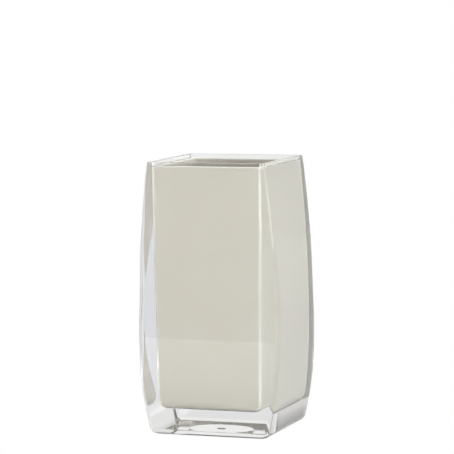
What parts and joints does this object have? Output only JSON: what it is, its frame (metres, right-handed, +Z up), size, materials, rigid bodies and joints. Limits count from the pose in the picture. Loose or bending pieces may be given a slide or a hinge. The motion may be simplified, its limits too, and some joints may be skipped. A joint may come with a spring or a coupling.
{
  "type": "toothbrush holder",
  "caption": "Open square tumbler-type holder: a thick clear body with two bellied sides and a solid clear base, round an opaque off-white liner cup.",
  "frame": {"origin": "centre of the foot, on the surface the holder stands on", "axes": "+Z up, +X towards a bellied side, -Y towards the flat front face"},
  "size_m": [0.0704, 0.058, 0.129],
  "materials": {
    "clear_acrylic": "polished clear",
    "liner_plastic": "satin, off-white",
    "clear_bond": "clear adhesive"
  },
  "bodies": {
    "root": {"outer_body": "clear_acrylic", "inner_liner": "liner_plastic", "rim_seal": "clear_bond", "bond_layer": "clear_bond"}
  },
  "joints": []
}
